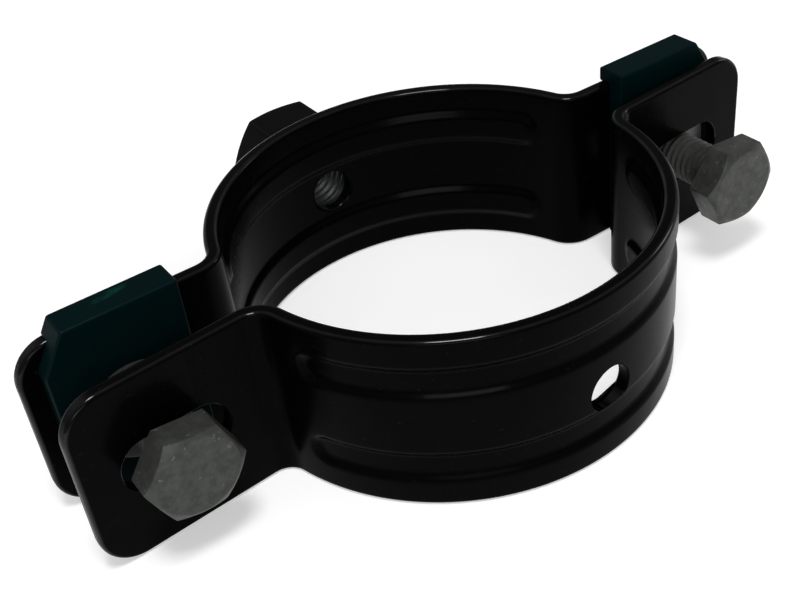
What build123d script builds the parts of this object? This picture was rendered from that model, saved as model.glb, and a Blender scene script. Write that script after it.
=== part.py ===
"""Two-piece bolted pipe clamp for an 83 mm pipe, with spacers between its ears.

Millimetres.  The origin is on the pipe's axis, halfway up the strip.  +Z runs along
the pipe, +X along the ears and +Y towards the welded connection nut.
"""

from build123d import *
from math import asin, cos, degrees, radians, sin, sqrt
import os

os.makedirs("parts", exist_ok=True)

# ---------------------------------------------------------------- driving dimensions

# strip steel that both half shells are pressed from
pipe_radius = 41.5            # the pipe, gripped by the bead crests
strip_thickness = 3.0
strip_height = 38.0

# two beads pressed inwards round each half shell
bead_depth = 1.0
bead_groove_radius = 4.0      # section of the groove on the outside
bead_crest_relief = 0.15      # ridge height that the flat crest takes away
bead_spacing = 19.6           # between the two bead centres, along the pipe
bead_stop_gap = 7.6           # from a neck bend to the bead's end, along the strip

# neck bends, ears and their slots
neck_bend_radius = 4.0        # inside of the bend
ear_reach = 84.5              # from the pipe's axis to an ear's end
ear_corner_radius = 8.0
slot_length = 22.0            # in the front ears
slot_width = 11.0
ear_hole_radius = 5.5         # in the back ears

# how far each half's ears lie from its own pipe axis
back_ear_offset = 8.6
front_ear_offset = 1.8

# fixing holes in the middle of each half
band_hole_radius = 4.75
front_hole_drop = 3.0         # the front half's hole sits below the middle

# connection nut, welded over the back half's hole
socket_across_flats = 24.0
socket_length = 21.0
socket_bore_radius = 7.0      # M16 thread at its minor diameter
socket_mouth_chamfer = 1.2
socket_foot_relief = 1.0      # thread runs out above the welded foot
weld_gap = 0.02               # between the shell and the nut's foot

# M10 bolts, nuts and washers
bolt_inset = 18.5             # from an ear's end to the bolt axis
bolt_radius = 4.93
bolt_length = 35.0
bolt_end_chamfer = 1.0
head_across_flats = 17.0
head_height = 6.4
head_turn = -5.0              # the hexagon's turn about the bolt axis, in degrees
head_lift = 2.7               # from the gaping front ear to the left-hand head
nut_across_flats = 17.0
nut_height = 8.0
nut_running_clearance = 0.07
washer_radius = 10.0
washer_thickness = 2.0
washer_clearance = 0.32

# plastic spacers, hooked over the back ears
spacer_thickness = 4.0
spacer_cap_height = 3.2       # above the strip's edge
spacer_width = 27.4
spacer_inset = 4.1            # from an ear's end to the spacer's outer side
spacer_chamfer_width = 5.0
spacer_chamfer_height = 8.0
spacer_clearance = 0.6        # round the bolt
spacer_edge_round = 0.5

# the front half hangs loose and gapes at the left-hand ear
closed_clearance = 1.0        # between washer and front ear once the clamp is shut
gape_angle = 3.84             # about the right-hand bolt, in degrees

# ---------------------------------------------------------------- derived dimensions

bolt_x = ear_reach - bolt_inset
spacer_outer_x = ear_reach - spacer_inset
spacer_inner_x = spacer_outer_x - spacer_width

inner_radius = pipe_radius + bead_depth
outer_radius = inner_radius + strip_thickness
half_height = strip_height / 2
bead_heights = (-bead_spacing / 2, bead_spacing / 2)
bead_path_radius = outer_radius + bead_groove_radius - bead_depth

back_ear_face = back_ear_offset + strip_thickness
spacer_face = back_ear_offset - spacer_thickness
washer_face = spacer_face - washer_thickness
closed_ear_y = washer_face - closed_clearance
front_axis_y = closed_ear_y + front_ear_offset
gape_axis = Axis((bolt_x, closed_ear_y, 0), (0, 0, 1))
gape_draw = 2 * bolt_x * sin(radians(gape_angle))
head_underside_y = closed_ear_y - strip_thickness - gape_draw - head_lift
socket_end_y = outer_radius + socket_length


def neck_angle(ear_offset):
    """Angle above the X axis at which the half circle runs into the neck bend."""
    bend_centre_y = ear_offset + strip_thickness + neck_bend_radius
    return degrees(asin(bend_centre_y / (outer_radius + neck_bend_radius)))


def bead_tube(section_radius, height, stop_angle):
    """Round-ended ring segment that follows a bead from one end to the other."""
    start = Plane(
        origin=(0, 0, height),
        x_dir=(cos(radians(stop_angle)), sin(radians(stop_angle)), 0),
        z_dir=(sin(radians(stop_angle)), -cos(radians(stop_angle)), 0),
    )
    ends = [
        (side * bead_path_radius * cos(radians(stop_angle)), bead_path_radius * sin(radians(stop_angle)), height)
        for side in (-1, 1)
    ]
    with BuildPart() as tube:
        with BuildSketch(start):
            with Locations((bead_path_radius, 0)):
                Circle(section_radius)
        revolve(axis=Axis.Z, revolution_arc=180 - 2 * stop_angle)
        with Locations(*ends):
            Sphere(section_radius)
    return tube.part


def bead_ridge(height, stop_angle):
    """The part of a bead that stands proud of the shell's inner wall."""
    with BuildPart() as ridge:
        add(bead_tube(bead_groove_radius + strip_thickness + bead_crest_relief, height, stop_angle))
        Cylinder(inner_radius + strip_thickness / 2, 2 * strip_height, mode=Mode.INTERSECT)
        Cylinder(pipe_radius, 2 * strip_height, mode=Mode.SUBTRACT)
    return ridge.part


def half_shell(ear_offset, hole_height, opening_length, opening_width):
    """One pressed half: beaded half circle, two neck bends and two pierced ears, on the +Y side."""
    outer_corner_x = sqrt(outer_radius**2 - (ear_offset + strip_thickness) ** 2)
    inner_corner_x = sqrt(inner_radius**2 - ear_offset**2)
    stop_angle = neck_angle(ear_offset) + degrees(bead_stop_gap / outer_radius)
    ear_middle = ear_offset + strip_thickness / 2

    with BuildPart() as shell:
        with BuildSketch(Plane.XY.offset(-half_height)) as plan:
            Circle(outer_radius)
            with Locations((0, ear_middle)):
                Rectangle(2 * ear_reach, strip_thickness)
            Circle(inner_radius, mode=Mode.SUBTRACT)
            with Locations((0, ear_offset)):
                Rectangle(2 * ear_reach, 2 * outer_radius, align=(Align.CENTER, Align.MAX), mode=Mode.SUBTRACT)
            outside = plan.vertices().filter_by(lambda v: abs(abs(v.X) - outer_corner_x) < 0.01)
            fillet(outside, neck_bend_radius)
            inside = plan.vertices().filter_by(lambda v: abs(abs(v.X) - inner_corner_x) < 0.01)
            fillet(inside, neck_bend_radius + strip_thickness)
        extrude(amount=strip_height)

        ear_ends = shell.edges().filter_by(Axis.Y).filter_by(lambda e: abs(e.center().X) > ear_reach - 0.01)
        fillet(ear_ends, ear_corner_radius)
        for height in bead_heights:
            add(bead_ridge(height, stop_angle))
        for height in bead_heights:
            add(bead_tube(bead_groove_radius, height, stop_angle), mode=Mode.SUBTRACT)

        with BuildSketch(Plane.XZ.offset(-ear_middle)):
            with Locations((-bolt_x, 0), (bolt_x, 0)):
                if opening_length > opening_width:
                    SlotOverall(opening_length, opening_width)
                else:
                    Circle(opening_width / 2)
        extrude(amount=strip_thickness, both=True, mode=Mode.SUBTRACT)

        with BuildSketch(Plane.XZ):
            with Locations((0, hole_height)):
                Circle(band_hole_radius)
        extrude(amount=-2 * outer_radius, mode=Mode.SUBTRACT)
    return shell.part


# ---------------------------------------------------------------- half shells

with BuildPart() as back_half_shell:
    add(half_shell(back_ear_offset, 0, 2 * ear_hole_radius, 2 * ear_hole_radius))
back_half_shell.part.label = "back_half_shell"
export_step(back_half_shell.part, "parts/back_half_shell.step")

with BuildPart() as front_half_shell:
    pressing = half_shell(front_ear_offset, -front_hole_drop, slot_length, slot_width)
    shut = mirror(pressing, about=Plane.XZ, mode=Mode.PRIVATE)
    add(shut.moved(Location((0, front_axis_y, 0))).rotate(gape_axis, gape_angle))
front_half_shell.part.label = "front_half_shell"
export_step(front_half_shell.part, "parts/front_half_shell.step")


# ---------------------------------------------------------------- connection nut

with BuildPart() as connection_nut:
    with BuildSketch(Plane.XZ.offset(-inner_radius)):
        RegularPolygon(socket_across_flats / 2, 6, major_radius=False)
    extrude(amount=inner_radius - socket_end_y)
    Cylinder(outer_radius + weld_gap, 2 * strip_height, mode=Mode.SUBTRACT)
    with BuildSketch(Plane.XZ):
        Circle(socket_bore_radius)
    extrude(amount=-socket_end_y - 1, mode=Mode.SUBTRACT)
    with BuildSketch(Plane.XZ):
        Circle(socket_bore_radius + socket_foot_relief)
    extrude(amount=-outer_radius - socket_foot_relief, mode=Mode.SUBTRACT)
    mouth = connection_nut.faces().sort_by(Axis.Y)[-1].edges().filter_by(GeomType.CIRCLE).sort_by(SortBy.RADIUS)[0]
    chamfer(mouth, socket_mouth_chamfer)
connection_nut.part.label = "connection_nut"
export_step(connection_nut.part, "parts/connection_nut.step")


# ---------------------------------------------------------------- spacers

def spacer():
    """Hooked spacer for the right-hand back ear: a body before the ear and a cap over its top."""
    top = half_height + spacer_cap_height
    outline = [
        (spacer_inner_x, -half_height),
        (spacer_outer_x, -half_height),
        (spacer_outer_x, top - spacer_chamfer_height),
        (spacer_outer_x - spacer_chamfer_width, top),
        (spacer_inner_x, top),
    ]
    with BuildPart() as body:
        with BuildSketch(Plane.XZ.offset(-spacer_face)):
            with BuildLine():
                Polyline(*outline, close=True)
            make_face()
        extrude(amount=spacer_face - back_ear_face)
        with BuildSketch(Plane.YZ.offset(spacer_inner_x)):
            with Locations((back_ear_offset, half_height)):
                Rectangle(2 * strip_thickness, 2 * strip_height, align=(Align.MIN, Align.MAX))
        extrude(amount=spacer_outer_x - spacer_inner_x, mode=Mode.SUBTRACT)
        seen = body.edges().filter_by(lambda e: e.center().Y < spacer_face + 0.01)
        fillet(seen, spacer_edge_round)
        with BuildSketch(Plane.XZ):
            with Locations((bolt_x, 0)):
                Circle(bolt_radius + spacer_clearance)
        extrude(amount=-back_ear_face, mode=Mode.SUBTRACT)
    return body.part


with BuildPart() as left_spacer:
    add(mirror(spacer(), about=Plane.YZ, mode=Mode.PRIVATE))
left_spacer.part.label = "left_spacer"
export_step(left_spacer.part, "parts/left_spacer.step")

with BuildPart() as right_spacer:
    add(spacer())
right_spacer.part.label = "right_spacer"
export_step(right_spacer.part, "parts/right_spacer.step")


# ---------------------------------------------------------------- washers

def washer(x):
    """Plain washer lying against the spacer's face."""
    with BuildPart() as disc:
        with BuildSketch(Plane.XZ.offset(-washer_face)):
            with Locations((x, 0)):
                Circle(washer_radius)
                Circle(bolt_radius + washer_clearance, mode=Mode.SUBTRACT)
        extrude(amount=-washer_thickness)
    return disc.part


with BuildPart() as left_washer:
    add(washer(-bolt_x))
left_washer.part.label = "left_washer"
export_step(left_washer.part, "parts/left_washer.step")

with BuildPart() as right_washer:
    add(washer(bolt_x))
right_washer.part.label = "right_washer"
export_step(right_washer.part, "parts/right_washer.step")


# ---------------------------------------------------------------- bolts and nuts

def bolt(x):
    """Hexagon-head bolt, its thread drawn as a plain cylinder."""
    with BuildPart() as screw:
        with BuildSketch(Plane.XZ.offset(-head_underside_y)):
            with Locations((x, 0)):
                RegularPolygon(head_across_flats / 2, 6, major_radius=False, rotation=head_turn)
        extrude(amount=head_height)
        with BuildSketch(Plane.XZ.offset(-head_underside_y)):
            with Locations((x, 0)):
                Circle(bolt_radius)
        extrude(amount=-bolt_length)
        point = screw.edges().sort_by(Axis.Y)[-1]
        chamfer(point, bolt_end_chamfer)
    return screw.part


def nut(x):
    """Hexagon nut against the back ear, bored to run on its bolt."""
    bore_radius = bolt_radius + nut_running_clearance
    with BuildPart() as hexagon:
        with BuildSketch(Plane.XZ.offset(-back_ear_face)):
            with Locations((x, 0)):
                RegularPolygon(nut_across_flats / 2, 6, major_radius=False)
                Circle(bore_radius, mode=Mode.SUBTRACT)
        extrude(amount=-nut_height)
    return hexagon.part


with BuildPart() as left_bolt:
    add(bolt(-bolt_x))
left_bolt.part.label = "left_bolt"
export_step(left_bolt.part, "parts/left_bolt.step")

with BuildPart() as right_bolt:
    add(bolt(bolt_x))
right_bolt.part.label = "right_bolt"
export_step(right_bolt.part, "parts/right_bolt.step")

with BuildPart() as left_nut:
    add(nut(-bolt_x))
left_nut.part.label = "left_nut"
export_step(left_nut.part, "parts/left_nut.step")

with BuildPart() as right_nut:
    add(nut(bolt_x))
right_nut.part.label = "right_nut"
export_step(right_nut.part, "parts/right_nut.step")
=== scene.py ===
"""Looks of the two-piece bolted pipe clamp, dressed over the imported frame."""

from contextlib import contextmanager
from math import asin, atan2, cos, pi, radians, sin, sqrt, tan

import bmesh
import bpy
from mathutils import Matrix, Vector


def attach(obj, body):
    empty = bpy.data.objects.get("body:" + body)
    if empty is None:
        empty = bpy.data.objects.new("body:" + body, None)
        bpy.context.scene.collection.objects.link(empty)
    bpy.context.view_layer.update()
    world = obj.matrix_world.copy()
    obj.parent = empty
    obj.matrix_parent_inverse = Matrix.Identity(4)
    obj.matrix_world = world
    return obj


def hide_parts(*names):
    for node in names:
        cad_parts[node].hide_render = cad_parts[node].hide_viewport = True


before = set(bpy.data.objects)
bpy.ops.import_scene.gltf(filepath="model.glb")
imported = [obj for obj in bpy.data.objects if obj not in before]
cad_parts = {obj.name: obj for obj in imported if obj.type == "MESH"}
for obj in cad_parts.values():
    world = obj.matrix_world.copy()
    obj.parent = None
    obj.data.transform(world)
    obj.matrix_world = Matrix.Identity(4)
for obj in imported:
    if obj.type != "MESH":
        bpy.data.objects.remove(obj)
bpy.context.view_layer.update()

# -------------------------------------------------- sizes in millimetres, angles in degrees

MM = 0.001                 # a millimetre in metres

PIPE_RADIUS = 41.5
STRIP_THICKNESS = 3.0
STRIP_HEIGHT = 38.0
STRIP_EDGE_ROUND = 0.9
BEAD_DEPTH = 1.0
BEAD_SPACING = 19.6
BEAD_STOP_GAP = 7.6        # from the end of a bead's middle line to the end of the arc
BEAD_FLOOR = 1.7           # half the width of a bead's level floor
BEAD_SHOULDER = 4.0        # half the width of a bead with its shoulders
BEAD_SPREAD = 0.12         # share by which a bead is wider at the inner face
NECK_RADIUS = 4.0
NECK_RUN_IN = 12.0         # stretch of the arc before a neck that is scored more finely
EAR_REACH = 84.5
EAR_CORNER = 8.0
EAR_START = 60.0           # distance from the middle past which corners are the ears'
BACK_EAR_OFFSET = 8.6
FRONT_EAR_OFFSET = 1.8
EAR_HOLE_RADIUS = 5.5
SLOT_LENGTH = 22.0
SLOT_WIDTH = 11.0
BAND_HOLE_RADIUS = 4.75
BAND_HOLE_SINK = 0.12      # half of what the curved wall falls away across its hole
FRONT_HOLE_DROP = 3.0
PUNCH_ROUND = 0.35         # round of a punched edge
PUNCH_ROUND_STEP = 0.12    # depth at which that round is partly closed,
PUNCH_ROUND_SHARE = 0.45   # and the share of it that is left there
PUNCH_OVERRUN = 0.3

SOCKET_FLATS = 24.0
SOCKET_LENGTH = 21.0
SOCKET_CHAMFER = 1.2
SOCKET_EDGE_ROUND = 0.3
SOCKET_BORE = 7.0
SOCKET_THREAD_DEPTH = 1.0
SOCKET_PITCH = 2.0
SOCKET_FOOT_SINK = 1.1     # how far the foot reaches into the shell, to close on its beads
TAP_LENGTH = 26.0
TAP_START = 2.0
MOUTH_DEPTH = 2.0
MOUTH_RAISE = 0.7
MOUTH_GROWTH = (-0.8, 1.5)

BOLT_X = 66.0
BOLT_RADIUS = 4.93
BOLT_LENGTH = 35.0
BOLT_PITCH = 1.5
BOLT_THREAD_DEPTH = 0.78
BOLT_RUN_OUT = 0.4
BOLT_POINT_CHAMFER = 1.0
BOLT_NECK = (-0.5, 1.2)    # start and length of the plain neck under the head
BOLT_NECK_INSET = 0.25
HEAD_FLATS = 17.0
HEAD_HEIGHT = 6.4
HEAD_CHAMFER = 1.3
HEAD_TURN = -5.0
NUT_HEIGHT = 8.0
NUT_CHAMFER = 0.6
NUT_ROOM = 0.07
HEXAGON_EDGE_ROUND = 0.22
WASHER_RADIUS = 10.0
WASHER_THICKNESS = 2.0
WASHER_ROOM = 0.32
WASHER_EDGE_ROUND = 0.2

SPACER_THICKNESS = 4.0
SPACER_CAP = 3.2
SPACER_WIDTH = 27.4
SPACER_INSET = 4.1
SPACER_CHAMFER = (5.0, 8.0)
SPACER_EDGE_ROUND = 0.5
SPACER_HOLE_ROOM = 0.6
SPACER_DRILL = 20.0
EAR_ROOM = 20.0            # depth of the room cut for the ear, and its spare width

RUB_PLACE = (-64.2, 9.4, 22.1)      # middle of the rub, and the height that it starts at
RUB_SIZE = (4.2, 1.1)
RUB_SLANT = 0.15
RIM_SHINE = 12.2
CORNER_SHINE = 4.0
COATING_SPECULAR = 0.021

GAPE_ANGLE = 3.84
CLOSED_CLEARANCE = 1.0
HEAD_LIFT = 2.7

FLOOR_HALF = 12000.0
FLOOR_GAP = 0.05
FLOOR_GLOW_REACH = 900.0

ROD_SIDES = 72
PUNCH_SIDES = 64
HEXAGON_SIDES = 96
THREAD_STEPS = 36          # to one turn
EAR_CORNER_STEPS = 14
EDGE_ROUND_STEPS = 5
ARC_LINES, RUN_IN_LINES, NECK_LINES = 60, 24, 10
SHOULDER_LINES, FLOOR_LINES = 9, 6

DOUBLES = 0.002            # corners nearer than this are one corner
THREAD_DOUBLES = 0.004     # the same, where one turn of a thread meets the next
SLIVER = 0.001             # edges shorter than this are dissolved
LINE_NEAR = 0.001          # corners nearer to a line or plane than this lie on it
CAP_NEAR = 0.0005          # the same, where a thread is cut to length
END_NEAR = 0.01            # corners nearer to a rod's end than this are its rim
CUTTER_ROOM = 1.0          # how far a bore stands out past what it cuts
CUTTER_LENGTH = 60.0       # passes through the strip's height
TURNED_ROOM = 0.002        # the turned envelope stands this far off the thread's crests,
TURNED_TRIM = 0.01         # and is this much shorter at each end

OUTER_RADIUS = PIPE_RADIUS + BEAD_DEPTH + STRIP_THICKNESS
INNER_RADIUS = OUTER_RADIUS - STRIP_THICKNESS
HALF_HEIGHT = STRIP_HEIGHT / 2
BACK_EAR_FACE = BACK_EAR_OFFSET + STRIP_THICKNESS
SPACER_FACE = BACK_EAR_OFFSET - SPACER_THICKNESS
WASHER_FACE = SPACER_FACE - WASHER_THICKNESS
CLOSED_EAR_Y = WASHER_FACE - CLOSED_CLEARANCE
GAPE = 2 * BOLT_X * sin(radians(GAPE_ANGLE))
HEAD_UNDERSIDE_Y = CLOSED_EAR_Y - STRIP_THICKNESS - GAPE - HEAD_LIFT

TO_METRES = Matrix.Scale(MM, 4)
FACING_BACK = Matrix(((1, 0, 0, 0), (0, 0, 1, 0), (0, -1, 0, 0), (0, 0, 0, 1)))
FACING_FRONT = Matrix(((1, 0, 0, 0), (0, 0, -1, 0), (0, 1, 0, 0), (0, 0, 0, 1)))


# ------------------------------------------------------------------ shader maths

class Value:
    """A shader socket that Python arithmetic can be done on."""

    def __init__(self, shader, socket):
        self.shader = shader
        self.socket = socket

    def _math(self, operation, *inputs):
        return self.shader.node("ShaderNodeMath", {"operation": operation}, dict(enumerate(inputs)), 0)

    def __add__(self, other):
        return self._math("ADD", self, other)

    def __radd__(self, other):
        return self._math("ADD", other, self)

    def __sub__(self, other):
        return self._math("SUBTRACT", self, other)

    def __rsub__(self, other):
        return self._math("SUBTRACT", other, self)

    def __mul__(self, other):
        return self._math("MULTIPLY", self, other)

    def __rmul__(self, other):
        return self._math("MULTIPLY", other, self)

    def size(self):
        return self._math("ABSOLUTE", self)

    def over(self, limit):
        return self._math("GREATER_THAN", self, limit)

    def clamped(self):
        return self.shader.node("ShaderNodeClamp", {}, {"Value": self}, "Result")


class Shader:
    """A material whose nodes are all made by one method."""

    def __init__(self, name):
        self.material = bpy.data.materials.new(name)
        self.material.use_nodes = True
        self.tree = self.material.node_tree
        self.tree.nodes.clear()
        self.place = self.node("ShaderNodeTexCoord", {}, {}, "Object")

    def node(self, kind, settings, sockets, *outs):
        """A node with its settings and its sockets' values or links; gives the outputs asked for."""
        made = self.tree.nodes.new(kind)
        for key, setting in settings.items():
            if key == "stops":
                ramp = made.color_ramp.elements
                while len(ramp) < len(setting):
                    ramp.new(0.5)
                for stop, (position, level) in zip(ramp, setting):
                    stop.position = position
                    stop.color = (level, level, level, 1)
            else:
                setattr(made, key, setting)
        for key, given in sockets.items():
            if isinstance(given, Value):
                self.tree.links.new(given.socket, made.inputs[key])
            else:
                made.inputs[key].default_value = given
        values = [Value(self, made.outputs[out]) for out in outs]
        return values[0] if len(values) == 1 else values

    def noise(self, scale, detail=2.0, roughness=0.5, stretch=None):
        place = self.place
        if stretch:
            place = self.node("ShaderNodeMapping", {}, {"Vector": place, "Scale": stretch}, "Vector")
        sockets = {"Vector": place, "Scale": scale, "Detail": detail, "Roughness": roughness}
        return self.node("ShaderNodeTexNoise", {}, sockets, "Fac")

    def ramp(self, value, *stops):
        """Grey levels at the given stops, each a position and a level."""
        return self.node("ShaderNodeValToRGB", {"stops": stops}, {"Fac": value}, "Color")

    def mix(self, factor, first, second):
        return self.node("ShaderNodeMix", {"data_type": "RGBA"}, {0: factor, 6: first, 7: second}, 2)

    def bump(self, height, strength, distance):
        sockets = {"Height": height, "Strength": strength, "Distance": distance}
        return self.node("ShaderNodeBump", {}, sockets, "Normal")

    def parts(self, vector):
        """The X, Y and Z of a vector."""
        return self.node("ShaderNodeSeparateXYZ", {}, {"Vector": vector}, "X", "Y", "Z")

    def round_edges(self):
        """Up to 1 on rounded rims that face upwards and on the ears' upright corners, 0 on flats."""
        across, along, upward = self.parts(self.node("ShaderNodeNewGeometry", {}, {}, "Normal"))
        rise = upward.clamped()
        rise = rise * rise
        rim = (RIM_SHINE * rise * rise * rise * rise) * (1.0 - rise)
        ear = self.parts(self.place)[0].size().over(EAR_START * MM)
        return (rim + CORNER_SHINE * ear * across * across * along * along).clamped()

    def surface(self, **sockets):
        named = {key.replace("_", " "): given for key, given in sockets.items()}
        principled = self.node("ShaderNodeBsdfPrincipled", {}, named, "BSDF")
        self.node("ShaderNodeOutputMaterial", {}, {"Surface": principled})
        return self.material


def coated_steel():
    """Black dip coating on pressed strip: uneven, shining on round edges, with dust and rubs."""
    coat = Shader("black_coating")
    cloud = coat.noise(38.0, 3.0, 0.55)
    grain = coat.noise(900.0, 2.0, 0.6)
    wave = coat.noise(210.0, 2.0, 0.4)
    edge = coat.round_edges()
    speck = coat.ramp(coat.noise(1100.0, 1.0, 0.5), (0.72, 0.0), (0.77, 1.0))
    rubs = coat.ramp(coat.noise(130.0, 4.0, 0.7, (1.0, 1.0, 2.2)), (0.60, 0.0), (0.80, 1.0))
    shade = coat.mix(cloud, (0.0005, 0.0006, 0.0006, 1), (0.0012, 0.0013, 0.0013, 1))
    shade = coat.mix(0.5 * rubs, shade, (0.0035, 0.0038, 0.0037, 1))
    shade = coat.mix(0.25 * speck, shade, (0.014, 0.015, 0.015, 1))
    return coat.surface(
        Base_Color=shade,
        Roughness=0.20 + 0.10 * cloud + 0.14 * rubs,
        Metallic=0.0,
        Specular_IOR_Level=COATING_SPECULAR,
        Coat_Weight=0.75 * edge * (0.35 + 0.65 * wave),
        Coat_Roughness=0.09,
        Normal=coat.bump(0.8 * wave + 0.2 * grain, 0.12, 0.0004),
    )


def welded_steel():
    """The same coating on the turned connection nut, its tapped thread left bright."""
    coat = Shader("connection_nut_coating")
    cloud = coat.noise(60.0, 3.0, 0.6)
    rings = coat.noise(260.0, 1.0, 0.4, (0.12, 8.0, 0.12))
    across, _, height = coat.parts(coat.place)
    thread_radius = (SOCKET_BORE + SOCKET_THREAD_DEPTH + 0.1) * MM
    outside = (across * across + height * height).over(thread_radius**2)
    bare = 1.0 - outside
    shade = coat.mix(cloud, (0.0008, 0.0009, 0.0009, 1), (0.0020, 0.0022, 0.0022, 1))
    metal = coat.mix(rings, (0.030, 0.034, 0.033, 1), (0.080, 0.086, 0.083, 1))
    return coat.surface(
        Base_Color=coat.mix(bare, shade, metal),
        Roughness=0.26 + 0.14 * cloud,
        Metallic=0.8 * bare,
        Specular_IOR_Level=COATING_SPECULAR,
        Coat_Weight=0.5 * outside * coat.round_edges(),
        Coat_Roughness=0.10,
        Normal=coat.bump(rings, 0.12, 0.0003),
    )


def moulded_plastic():
    """Dark teal moulded plastic: spark texture, flow clouds, scuffs and a pale rub on the left cap."""
    teal = Shader("teal_plastic")
    cloud = teal.noise(55.0, 3.0, 0.55)
    spark = teal.noise(2300.0, 2.0, 0.6)
    scuff = teal.ramp(teal.noise(85.0, 5.0, 0.75, (0.5, 1.0, 1.6)), (0.62, 0.0), (0.82, 1.0))
    across, along, height = teal.parts(teal.place)
    rub_x, rub_y, rub_z = (MM * place for place in RUB_PLACE)
    rub_length, rub_width = (MM * size for size in RUB_SIZE)
    from_rub = across - rub_x
    reach = from_rub * (1 / rub_length)
    width = (along - rub_y - RUB_SLANT * from_rub) * (1 / rub_width)
    near = (1.0 - reach * reach - width * width).clamped() * height.over(rub_z)
    rub = near * teal.ramp(teal.noise(420.0, 4.0, 0.7, (0.5, 1.0, 1.0)), (0.35, 0.0), (0.62, 1.0))
    shade = teal.mix(cloud, (0.0003, 0.0048, 0.0057, 1), (0.0005, 0.0082, 0.0091, 1))
    shade = teal.mix(0.30 * scuff, shade, (0.002, 0.032, 0.029, 1))
    shade = teal.mix(rub, shade, (0.002, 0.048, 0.033, 1))
    return teal.surface(
        Base_Color=shade,
        Roughness=0.36 + 0.12 * cloud + 0.14 * scuff,
        Metallic=0.0,
        Specular_IOR_Level=0.018,
        Coat_Weight=0.10 * teal.round_edges(),
        Coat_Roughness=0.25,
        Normal=teal.bump(spark, 0.14, 0.00025),
    )


def bolt_steel():
    """Dull grey plated steel, sandy and mottled, with bright flecks painted in as glints, partly also
    rubbed plating.
    """
    steel = Shader("bolt_plating")
    grit = steel.noise(1500.0, 3.0, 0.7)
    mottle = steel.noise(420.0, 4.0, 0.65)
    cloud = steel.noise(95.0, 3.0, 0.6)
    patch = steel.ramp(mottle, (0.38, 0.0), (0.62, 1.0))
    # painted glints: bright flecks in the base colour, standing partly for rubbed plating too
    glint_fleck = steel.ramp(steel.noise(800.0, 2.0, 0.6), (0.66, 0.0), (0.74, 1.0))
    shade = steel.mix(cloud, (0.048, 0.051, 0.047, 1), (0.086, 0.090, 0.084, 1))
    shade = steel.mix(0.55 * patch, shade, (0.029, 0.031, 0.028, 1))
    shade = steel.mix(0.45 * glint_fleck, shade, (0.230, 0.235, 0.220, 1))
    return steel.surface(
        Base_Color=shade,
        Roughness=0.32 + 0.20 * mottle,
        Metallic=0.45,
        Specular_IOR_Level=0.15,
        Normal=steel.bump(0.5 * mottle + 0.5 * grit, 0.25, 0.0003),
    )


def zinc_plate():
    """Dulled zinc on a stamped washer."""
    zinc = Shader("washer_zinc")
    mottle = zinc.noise(500.0, 3.0, 0.6)
    cloud = zinc.noise(120.0, 3.0, 0.6)
    return zinc.surface(
        Base_Color=zinc.mix(cloud, (0.060, 0.062, 0.060, 1), (0.120, 0.124, 0.120, 1)),
        Roughness=0.34 + 0.16 * mottle,
        Metallic=0.8,
        Specular_IOR_Level=0.25,
        Normal=zinc.bump(mottle, 0.10, 0.0002),
    )


COATED = coated_steel()
WELDED = welded_steel()
TEAL = moulded_plastic()
BOLT = bolt_steel()
ZINC = zinc_plate()


# ------------------------------------------------------------------ making pieces

def linked(name, data):
    made = bpy.data.objects.new(name, data)
    bpy.context.scene.collection.objects.link(made)
    return made


def mesh_object(bm, name):
    """An object from a bmesh as it stands; the bmesh is used up."""
    mesh = bpy.data.meshes.new(name)
    bm.to_mesh(mesh)
    bm.free()
    return linked(name, mesh)


def as_object(bm, name):
    """An object from a bmesh in millimetres, merged, its normals pointing outwards."""
    bmesh.ops.remove_doubles(bm, verts=bm.verts, dist=DOUBLES)
    bmesh.ops.recalc_face_normals(bm, faces=bm.faces)
    bmesh.ops.transform(bm, matrix=TO_METRES, verts=bm.verts)
    return mesh_object(bm, name)


def facing(x, y, z, turn=FACING_BACK):
    """Placement at a point, +Z turned to the back or the front."""
    return Matrix.Translation((x, y, z)) @ turn


def put(bm, matrix, name):
    bmesh.ops.transform(bm, matrix=matrix, verts=bm.verts)
    return as_object(bm, name)


@contextmanager
def opened(piece):
    """A piece's mesh, in metres, as a bmesh that is written back afterwards."""
    bm = bmesh.new()
    bm.from_mesh(piece.data)
    yield bm
    bm.to_mesh(piece.data)
    bm.free()


def only(kind, made):
    """The elements of one kind that an operator made."""
    return [element for element in made["geom"] if isinstance(element, kind)]


def new_rim(made):
    """The edges between the new corners of an extruded rim."""
    corners = set(only(bmesh.types.BMVert, made))
    return [e for e in only(bmesh.types.BMEdge, made) if set(e.verts) <= corners]


def sharp_edges(bm, degrees):
    return [e for e in bm.edges if len(e.link_faces) == 2 and e.calc_face_angle() > radians(degrees)]


def bevelled(bm, geom, offset, segments, affect="EDGES", clamp=False):
    bmesh.ops.bevel(
        bm, geom=geom, offset=offset, offset_type="OFFSET", segments=segments, profile=0.5,
        affect=affect, material=-1, clamp_overlap=clamp,
    )


def mirrored(bm, signs):
    bmesh.ops.scale(bm, vec=signs, verts=bm.verts)
    bmesh.ops.reverse_faces(bm, faces=bm.faces)


def plain_rod(radius, length, start=0.0, end_chamfer=0.0):
    """Turned rod along +Z, its far end chamfered."""
    bm = bmesh.new()
    bmesh.ops.create_cone(
        bm, cap_ends=True, segments=ROD_SIDES, radius1=radius, radius2=radius, depth=length,
    )
    bmesh.ops.translate(bm, vec=(0, 0, start + length / 2), verts=bm.verts)
    if end_chamfer:
        near_end = start + length - END_NEAR
        rim = [e for e in bm.edges if all(v.co.z > near_end for v in e.verts)]
        bevelled(bm, rim, end_chamfer, 1)
    return bm


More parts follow.
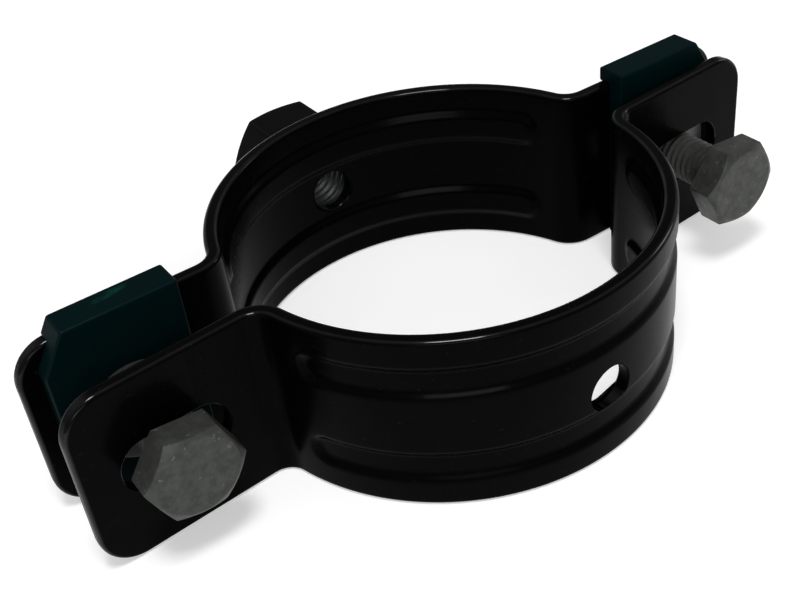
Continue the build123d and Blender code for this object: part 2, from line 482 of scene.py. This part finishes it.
def cut(piece, tool, operation="DIFFERENCE"):
    """Boolean of two objects; the tool is used up."""
    step = piece.modifiers.new("cut", "BOOLEAN")
    step.operation = operation
    step.solver = "EXACT"
    step.object = tool
    bpy.context.view_layer.update()
    evaluated = piece.evaluated_get(bpy.context.evaluated_depsgraph_get())
    result = bpy.data.meshes.new_from_object(evaluated)
    piece.modifiers.remove(step)
    piece.data = result
    bpy.data.objects.remove(tool)
    return piece


def dress(piece, node, body, material, angle=32.0):
    """Cleans and shades a finished piece, puts it in its CAD node's place and on its body."""
    with opened(piece) as bm:
        bmesh.ops.dissolve_degenerate(bm, dist=SLIVER * MM, edges=bm.edges)
    piece.data.materials.clear()
    piece.data.materials.append(material)
    piece.data.polygons.foreach_set("use_smooth", [True] * len(piece.data.polygons))
    piece.data.set_sharp_from_angle(angle=radians(angle))
    even = piece.modifiers.new("even_shading", "WEIGHTED_NORMAL")
    even.keep_sharp = True
    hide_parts(node)
    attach(piece, body)
    return piece


# ------------------------------------------------------------------ half shells

def neck_bend(ear_offset):
    """Centre and start angle of a neck's bend, and the strip's length to it and round it."""
    bend_y = ear_offset + STRIP_THICKNESS + NECK_RADIUS
    reach = OUTER_RADIUS + NECK_RADIUS
    neck = asin(bend_y / reach)
    arc = OUTER_RADIUS * (pi / 2 - neck)
    turn = NECK_RADIUS * (pi / 2 - neck)
    return reach * cos(neck), bend_y, neck, arc, turn


def bent(along, ear_offset):
    """Point on a pressing's outer face and its outward normal, measured along it from its middle."""
    bend_x, bend_y, neck, arc, turn = neck_bend(ear_offset)
    side = 1 if along >= 0 else -1
    s = abs(along)
    if s <= arc:
        angle = pi / 2 - s / OUTER_RADIUS
        normal = Vector((cos(angle), sin(angle), 0))
        point = normal * OUTER_RADIUS
    elif s <= arc + turn:
        angle = neck + pi + (s - arc) / NECK_RADIUS
        normal = -Vector((cos(angle), sin(angle), 0))
        point = Vector((bend_x, bend_y, 0)) - normal * NECK_RADIUS
    else:
        normal = Vector((0, 1, 0))
        point = Vector((bend_x + s - arc - turn, bend_y - NECK_RADIUS, 0))
    return Vector((side * point.x, point.y, 0)), Vector((side * normal.x, normal.y, 0))


def strip_marks(ear_offset):
    """Where along the strip its arc ends, its bend ends and its end is."""
    bend_x, _, _, arc, turn = neck_bend(ear_offset)
    return arc, arc + turn, arc + turn + EAR_REACH - bend_x


def spread(low, high, count):
    """Even stations from low up to, and without, high."""
    return [low + (high - low) * i / count for i in range(count)]


def bead_groove(distance):
    """Depth of a bead at a distance from its middle line: level on its floor, an S up its shoulder."""
    up = (BEAD_SHOULDER - distance) / (BEAD_SHOULDER - BEAD_FLOOR)
    up = max(0.0, min(1.0, up))
    return BEAD_DEPTH * up * up * (3 - 2 * up)


def blank(half_length):
    """Flat blank of the strip, its outer face up at height 0, with rounded ends and rolled edges."""
    bm = bmesh.new()
    bmesh.ops.create_grid(bm, x_segments=1, y_segments=1, size=1)
    bmesh.ops.scale(bm, vec=(half_length, HALF_HEIGHT, 1), verts=bm.verts)
    bevelled(bm, bm.verts[:], EAR_CORNER, EAR_CORNER_STEPS, affect="VERTICES")
    bmesh.ops.solidify(bm, geom=bm.faces[:], thickness=STRIP_THICKNESS)
    bmesh.ops.translate(bm, vec=(0, 0, -max(v.co.z for v in bm.verts)), verts=bm.verts)
    bevelled(bm, sharp_edges(bm, 60), STRIP_EDGE_ROUND, EDGE_ROUND_STEPS)
    return bm


def score(bm, places, direction):
    """Lines across the blank at each place, for it to bend at."""
    for place in places:
        bmesh.ops.bisect_plane(
            bm, geom=bm.verts[:] + bm.edges[:] + bm.faces[:], dist=LINE_NEAR,
            plane_co=direction * place, plane_no=direction,
        )


def pressed_strip(ear_offset):
    """The blank bent round its former, its beads pressed in from outside."""
    arc, bend, end = strip_marks(ear_offset)
    run_in = arc - NECK_RUN_IN
    columns = spread(0, run_in, ARC_LINES) + spread(run_in, arc, RUN_IN_LINES)
    columns += spread(arc, bend, NECK_LINES) + [bend]
    bead = BEAD_SPACING / 2
    foot = BEAD_SHOULDER * (1 + BEAD_SPREAD)
    rows = [bead - foot] + spread(bead - BEAD_SHOULDER, bead - BEAD_FLOOR, SHOULDER_LINES)
    rows += spread(bead - BEAD_FLOOR, bead + BEAD_FLOOR, FLOOR_LINES)
    rows += spread(bead + BEAD_FLOOR, bead + BEAD_SHOULDER, SHOULDER_LINES)
    rows += [bead + BEAD_SHOULDER, bead + foot]
    bm = blank(end)
    score(bm, [-s for s in reversed(columns[1:])] + columns, Vector((1, 0, 0)))
    score(bm, [-z for z in reversed(rows)] + rows, Vector((0, 1, 0)))
    for v in bm.verts:
        s, z, deep = v.co.x, v.co.y, -v.co.z
        past_stop = max(0.0, abs(s) - (arc - BEAD_STOP_GAP))
        wide = 1 + BEAD_SPREAD * deep / STRIP_THICKNESS
        pressed = bead_groove(sqrt((abs(z) - bead) ** 2 + past_stop**2) / wide)
        point, normal = bent(s, ear_offset)
        v.co = point - normal * (deep + pressed) + Vector((0, 0, z))
    return bm


def punch(x, z, radius, length, y_low, y_high):
    """Punch for a hole or slot through a wall between two depths, flared to round both its edges."""
    straight = length / 2 - radius
    part_round = PUNCH_ROUND * PUNCH_ROUND_SHARE
    start = y_low - PUNCH_OVERRUN
    steps = [
        (start, PUNCH_ROUND + PUNCH_OVERRUN),
        (y_low, PUNCH_ROUND),
        (y_low + PUNCH_ROUND_STEP, part_round),
        (y_low + PUNCH_ROUND, 0.0),
        (y_high - PUNCH_ROUND, 0.0),
        (y_high - PUNCH_ROUND_STEP, part_round),
        (y_high, PUNCH_ROUND),
        (y_high + PUNCH_OVERRUN, PUNCH_ROUND + PUNCH_OVERRUN),
    ]

    def flared(co, grow):
        centre = Vector((max(-straight, min(straight, co.x)), 0, 0))
        return co + (co - centre).normalized() * grow

    bm = bmesh.new()
    bmesh.ops.create_circle(bm, cap_ends=True, segments=PUNCH_SIDES, radius=radius)
    for v in bm.verts:
        v.co.x += straight * ((v.co.x > LINE_NEAR) - (v.co.x < -LINE_NEAR))
        v.co = flared(v.co, steps[0][1])
    bottom = cap = bm.faces[:]
    for (_, before), (depth, after) in zip(steps, steps[1:]):
        made = bmesh.ops.extrude_face_region(bm, geom=cap)
        verts = only(bmesh.types.BMVert, made)
        faces = only(bmesh.types.BMFace, made)
        if cap is not bottom:
            bmesh.ops.delete(bm, geom=cap, context="FACES_ONLY")
        for v in verts:
            level = flared(Vector((v.co.x, v.co.y, 0)), after - before)
            v.co = level + Vector((0, 0, depth - start))
        cap = faces
    return put(bm, facing(x, start, z), "punch")


def half_shell(name, ear_offset, hole_z, opening_length):
    """One pressed and pierced half, standing to the back."""
    shell = as_object(pressed_strip(ear_offset), name)
    ear_face = ear_offset + STRIP_THICKNESS
    for x in (-BOLT_X, BOLT_X):
        cut(shell, punch(x, 0, SLOT_WIDTH / 2, opening_length, ear_offset, ear_face))
    wall = (INNER_RADIUS - BAND_HOLE_SINK, OUTER_RADIUS - BAND_HOLE_SINK)
    cut(shell, punch(0, hole_z, BAND_HOLE_RADIUS, 2 * BAND_HOLE_RADIUS, *wall))
    drill = plain_rod(BAND_HOLE_RADIUS, 4 * BEAD_DEPTH, -3 * BEAD_DEPTH)
    cut(shell, put(drill, facing(0, INNER_RADIUS, hole_z), "drill"))
    return shell


def turned_front(shell):
    """Mirrors a half to the front and opens it about the right bolt."""
    hinge = Matrix.Translation((BOLT_X * MM, CLOSED_EAR_Y * MM, 0))
    gape = Matrix.Rotation(radians(GAPE_ANGLE), 4, "Z")
    ear = Matrix.Translation((-BOLT_X * MM, FRONT_EAR_OFFSET * MM, 0))
    with opened(shell) as bm:
        mirrored(bm, (1, -1, 1))
        bmesh.ops.transform(bm, matrix=hinge @ gape @ ear, verts=bm.verts)
    return shell


back = half_shell("back_half", BACK_EAR_OFFSET, 0, 2 * EAR_HOLE_RADIUS)
dress(back, "back_half_shell", "back_half", COATED)
front = turned_front(half_shell("front_half", FRONT_EAR_OFFSET, -FRONT_HOLE_DROP, SLOT_LENGTH))
dress(front, "front_half_shell", "front_half", COATED)


# ------------------------------------------------------------------ hexagons and threads

def hexagon(flats, length, chamfer, turn=0.0, both=False, round_edge=HEXAGON_EDGE_ROUND):
    """Hexagonal block from z = 0 upwards, its corners turned off at the far end, or at both."""
    face_radius = flats / 2 - chamfer / 2

    def reach(angle):
        in_flat = (angle - radians(turn)) % (pi / 3) - pi / 6
        return flats / 2 / cos(in_flat)

    def drop(angle):
        return max(0.0, reach(angle) - face_radius) * tan(radians(30))

    def to_face(made, height):
        for v in only(bmesh.types.BMVert, made):
            angle = atan2(v.co.y, v.co.x)
            v.co = Vector((cos(angle) * face_radius, sin(angle) * face_radius, height))

    bm = bmesh.new()
    bmesh.ops.create_circle(bm, cap_ends=True, segments=HEXAGON_SIDES, radius=1)
    bmesh.ops.rotate(bm, matrix=Matrix.Rotation(radians(turn), 3, "Z"), verts=bm.verts)
    bottom = bm.faces[:]
    for v in bm.verts:
        angle = atan2(v.co.y, v.co.x)
        height = drop(angle) if both else 0
        v.co = Vector((cos(angle) * reach(angle), sin(angle) * reach(angle), height))
    if both:
        to_face(bmesh.ops.extrude_face_region(bm, geom=bottom), 0)
        bmesh.ops.delete(bm, geom=bottom, context="FACES_ONLY")
    rim = [e for e in bm.edges if len(e.link_faces) == 1]
    sides = bmesh.ops.extrude_edge_only(bm, edges=rim)
    for v in only(bmesh.types.BMVert, sides):
        v.co.z = length - drop(atan2(v.co.y, v.co.x))
    cone = bmesh.ops.extrude_edge_only(bm, edges=new_rim(sides))
    to_face(cone, length)
    bmesh.ops.contextual_create(bm, geom=new_rim(cone))
    bmesh.ops.recalc_face_normals(bm, faces=bm.faces)
    bevelled(bm, sharp_edges(bm, 20), round_edge, 2, clamp=True)
    return bm


def threaded_rod(major, minor, pitch, length, start=0.0):
    """Solid threaded rod along +Z from start, its ridge a right-handed helix."""
    turns = int(length / pitch) + 3
    section = [
        (minor, 0.0), (minor, 0.12), (major, 0.44), (major, 0.56), (minor, 0.88), (minor, 1.0),
    ]
    bm = bmesh.new()
    chain = [bm.verts.new((radius, 0, start + (share - 1.5) * pitch)) for radius, share in section]
    edges = [bm.edges.new(pair) for pair in zip(chain, chain[1:])]
    bmesh.ops.spin(
        bm, geom=chain + edges, cent=(0, 0, 0), axis=(0, 0, 1), dvec=(0, 0, pitch / THREAD_STEPS),
        angle=2 * pi * turns, steps=THREAD_STEPS * turns,
        use_merge=False, use_normal_flip=False, use_duplicate=False,
    )
    bmesh.ops.remove_doubles(bm, verts=bm.verts, dist=THREAD_DOUBLES)
    for height, normal in ((start, -1), (start + length, 1)):
        bmesh.ops.bisect_plane(
            bm, geom=bm.verts[:] + bm.edges[:] + bm.faces[:], dist=CAP_NEAR,
            plane_co=(0, 0, height), plane_no=(0, 0, normal), clear_outer=True,
        )
        open_edges = [e for e in bm.edges if len(e.link_faces) == 1]
        rim = [e for e in open_edges if all(abs(v.co.z - height) < END_NEAR for v in e.verts)]
        bmesh.ops.holes_fill(bm, edges=rim, sides=0)
    return bm


def joined(name, *parts):
    """Several meshes as one object."""
    bm = bmesh.new()
    for part in parts:
        bm.from_mesh(part.data)
        bpy.data.objects.remove(part)
    return mesh_object(bm, name)


def bolt(name, x):
    """Hexagon bolt with its thread, chamfered at the point and run out under the head."""
    back_from_head = facing(x, HEAD_UNDERSIDE_Y, 0)
    root = BOLT_RADIUS - BOLT_THREAD_DEPTH
    thread = threaded_rod(BOLT_RADIUS, root, BOLT_PITCH, BOLT_LENGTH - BOLT_RUN_OUT, BOLT_RUN_OUT)
    shank = put(thread, back_from_head, "thread")
    turned_length = BOLT_LENGTH - 2 * TURNED_TRIM
    turned = plain_rod(BOLT_RADIUS + TURNED_ROOM, turned_length, TURNED_TRIM, BOLT_POINT_CHAMFER)
    cut(shank, put(turned, back_from_head, "turned"), "INTERSECT")
    block = hexagon(HEAD_FLATS, HEAD_HEIGHT, HEAD_CHAMFER, HEAD_TURN)
    head = put(block, facing(x, HEAD_UNDERSIDE_Y, 0, FACING_FRONT), "head")
    neck_start, neck_length = BOLT_NECK
    collar = plain_rod(BOLT_RADIUS - BOLT_NECK_INSET, neck_length, neck_start)
    return joined(name, shank, head, put(collar, back_from_head, "neck"))


def nut(name, x):
    """Hexagon nut with a plain bore, which the bolt's thread fills."""
    at_ear = facing(x, BACK_EAR_FACE, 0)
    body = put(hexagon(HEAD_FLATS, NUT_HEIGHT, NUT_CHAMFER, both=True), at_ear, name)
    bore = plain_rod(BOLT_RADIUS + NUT_ROOM, NUT_HEIGHT + 2 * CUTTER_ROOM, -CUTTER_ROOM)
    return cut(body, put(bore, at_ear, "bore"))


def washer(name, x):
    """Stamped plain washer."""
    bm = bmesh.new()
    bmesh.ops.create_circle(bm, cap_ends=False, segments=HEXAGON_SIDES, radius=WASHER_RADIUS)
    ring = bmesh.ops.extrude_edge_only(bm, edges=bm.edges[:])
    for v in only(bmesh.types.BMVert, ring):
        v.co = v.co.normalized() * (BOLT_RADIUS + WASHER_ROOM)
    bmesh.ops.recalc_face_normals(bm, faces=bm.faces)
    bmesh.ops.solidify(bm, geom=bm.faces[:], thickness=WASHER_THICKNESS)
    bmesh.ops.translate(bm, vec=(0, 0, -min(v.co.z for v in bm.verts)), verts=bm.verts)
    bevelled(bm, sharp_edges(bm, 60), WASHER_EDGE_ROUND, 3)
    return put(bm, facing(x, WASHER_FACE, 0), name)


for side, x in (("left", -BOLT_X), ("right", BOLT_X)):
    dress(bolt(side + "_hexagon_bolt", x), side + "_bolt", side + "_screw", BOLT, 25)
    dress(nut(side + "_hexagon_nut", x), side + "_nut", "back_half", BOLT, 25)
    dress(washer(side + "_plain_washer", x), side + "_washer", "back_half", ZINC)


# ------------------------------------------------------------------ spacers

def spacer(name, side):
    """Hooked moulding: full-height body before the ear and a cap over it, its outer corner cut off."""
    outer = EAR_REACH - SPACER_INSET
    inner = outer - SPACER_WIDTH
    top = HALF_HEIGHT + SPACER_CAP
    wide, high = SPACER_CHAMFER
    outline = [
        (inner, -HALF_HEIGHT), (outer, -HALF_HEIGHT),
        (outer, top - high), (outer - wide, top), (inner, top),
    ]
    bm = bmesh.new()
    face = bm.faces.new([bm.verts.new((x, SPACER_FACE, z)) for x, z in outline])
    made = bmesh.ops.extrude_face_region(bm, geom=[face])
    depth = BACK_EAR_FACE - SPACER_FACE
    bmesh.ops.translate(bm, vec=(0, depth, 0), verts=only(bmesh.types.BMVert, made))
    body = as_object(bm, name)
    room_y = BACK_EAR_OFFSET + EAR_ROOM / 2
    room_z = HALF_HEIGHT - CUTTER_LENGTH / 2
    room = bmesh.new()
    bmesh.ops.create_cube(room, size=1)
    bmesh.ops.scale(room, vec=(SPACER_WIDTH + EAR_ROOM, EAR_ROOM, CUTTER_LENGTH), verts=room.verts)
    room_place = Matrix.Translation(((inner + outer) / 2, room_y, room_z))
    cut(body, put(room, room_place, "ear_room"))
    with opened(body) as bm:
        bmesh.ops.dissolve_limit(bm, angle_limit=radians(2), verts=bm.verts, edges=bm.edges)
        convex = [e for e in sharp_edges(bm, 20) if e.is_convex]
        bevelled(bm, convex, SPACER_EDGE_ROUND * MM, 4, clamp=True)
        if side < 0:
            mirrored(bm, (-1, 1, 1))
    hole = plain_rod(BOLT_RADIUS + SPACER_HOLE_ROOM, SPACER_DRILL)
    return cut(body, put(hole, facing(side * BOLT_X, 0, 0), "bolt_hole"))


dress(spacer("left_spacer_moulding", -1), "left_spacer", "back_half", TEAL)
dress(spacer("right_spacer_moulding", 1), "right_spacer", "back_half", TEAL)


# ------------------------------------------------------------------ connection nut

def connection_nut():
    """Long hexagon on the back half, threaded through, its foot shaped to the shell."""
    end = OUTER_RADIUS + SOCKET_LENGTH
    block = hexagon(SOCKET_FLATS, end - INNER_RADIUS, SOCKET_CHAMFER, round_edge=SOCKET_EDGE_ROUND)
    body = put(block, facing(0, INNER_RADIUS, 0), "connection_socket")
    shell = plain_rod(OUTER_RADIUS - SOCKET_FOOT_SINK, CUTTER_LENGTH, -CUTTER_LENGTH / 2)
    cut(body, put(shell, Matrix.Identity(4), "shell_room"))
    tap = threaded_rod(SOCKET_BORE + SOCKET_THREAD_DEPTH, SOCKET_BORE, SOCKET_PITCH, TAP_LENGTH)
    cut(body, put(tap, facing(0, INNER_RADIUS - TAP_START, 0), "tap"))
    narrow, wide = (SOCKET_BORE + growth for growth in MOUTH_GROWTH)
    mouth = bmesh.new()
    bmesh.ops.create_cone(
        mouth, cap_ends=True, segments=ROD_SIDES, radius1=narrow, radius2=wide, depth=MOUTH_DEPTH,
    )
    return cut(body, put(mouth, facing(0, end - MOUTH_RAISE, 0), "mouth"))


dress(connection_nut(), "connection_nut", "back_half", WELDED, 25)


# ------------------------------------------------------------------ camera, lamps and floor

CAMERA_UNIT = 0.91e-3      # metres to one unit of the camera's place
CAMERA_PLACE = (-10.7, 12.0, -280.8)    # along its right, up and view, before it is rolled
CAMERA_ORIGIN = (0, 0.53, 21)
CAMERA_TURN = 30.23
CAMERA_TILT = 36.79
CAMERA_ROLL = -7.62
CAMERA_CLIP = (0.01, 20.0)
SENSOR_WIDTH = 36.0
FOCAL_PIXELS = 1202
PICTURE_WIDTH = 800
STUDIO_STRENGTH = 0.35


def set_camera():
    """Camera turned about Z, tilted down and rolled."""
    a, e, r = radians(CAMERA_TURN), radians(CAMERA_TILT), radians(CAMERA_ROLL)
    right = Vector((cos(a), -sin(a), 0))
    ahead = Vector((sin(a) * cos(e), cos(a) * cos(e), -sin(e)))
    up = Vector((sin(a) * sin(e), cos(a) * sin(e), cos(e)))
    across = right * cos(r) + up * sin(r)
    upward = up * cos(r) - right * sin(r)
    sideways, raised, forward = CAMERA_PLACE
    stand = right * sideways + up * raised + ahead * forward - Vector(CAMERA_ORIGIN)
    lens = bpy.data.cameras.new("camera")
    lens.sensor_width = SENSOR_WIDTH
    lens.lens = FOCAL_PIXELS / PICTURE_WIDTH * SENSOR_WIDTH
    lens.clip_start, lens.clip_end = CAMERA_CLIP
    camera = linked("camera", lens)
    turned = Matrix((across, upward, -ahead)).transposed().to_4x4()
    camera.matrix_world = Matrix.Translation(stand * CAMERA_UNIT) @ turned
    bpy.context.scene.camera = camera


def lamp(name, place, target, size, power, stretch=1.0):
    """Soft lamp that looks at a target; stretch is its height over its width."""
    light = bpy.data.lights.new(name, "AREA")
    light.shape = "RECTANGLE"
    light.size = size
    light.size_y = size * stretch
    light.energy = power
    made = linked(name, light)
    made.location = place
    made.rotation_mode = "QUATERNION"
    made.rotation_quaternion = (Vector(target) - Vector(place)).to_track_quat("-Z", "Y")


def lay_floor():
    """Pale floor that camera, glossy and transmission rays see brighter the further off it lies."""
    bm = bmesh.new()
    bmesh.ops.create_grid(bm, x_segments=1, y_segments=1, size=FLOOR_HALF)
    bmesh.ops.translate(bm, vec=(0, 0, -HALF_HEIGHT - FLOOR_GAP), verts=bm.verts)
    floor = as_object(bm, "floor")
    paper = Shader("pale_floor")
    rays = ("Is Camera Ray", "Is Glossy Ray", "Is Transmission Ray")
    direct, reflected, refracted = paper.node("ShaderNodeLightPath", {}, {}, *rays)
    seen = (direct + reflected + refracted).clamped()
    tone = paper.noise(3.0, 2.0, 0.5)
    across, along, _ = paper.parts(paper.place)
    far = ((across * across + along * along) * (1 / (FLOOR_GLOW_REACH * MM) ** 2)).clamped()
    glow = paper.mix(far, (0.38, 0.38, 0.38, 1), (0.75, 0.75, 0.75, 1))
    paper.surface(
        Base_Color=paper.mix(tone, (0.80, 0.80, 0.80, 1), (0.82, 0.82, 0.82, 1)),
        Roughness=0.9,
        Metallic=0.0,
        Emission_Color=paper.mix(seen, (0, 0, 0, 1), glow),
        Emission_Strength=1.0,
    )
    floor.data.materials.append(paper.material)


set_camera()
lamp("key_above", (-0.12, -0.20, 0.84), (0, 0, 0), 0.22, 3.8)
lamp("rim_right", (0.75, -0.10, 0.32), (0.03, 0, 0), 0.16, 0.7, 2.0)
lamp("fill_front", (-0.42, -0.72, 0.42), (0, 0, 0), 0.55, 2.0, 0.4)
lay_floor()

world = bpy.data.worlds.new("studio")
bpy.context.scene.world = world
world.use_nodes = True
sky = world.node_tree.nodes["Background"]
sky.inputs["Color"].default_value = (1, 1, 1, 1)
sky.inputs["Strength"].default_value = STUDIO_STRENGTH

bpy.context.scene.view_settings.view_transform = "Standard"
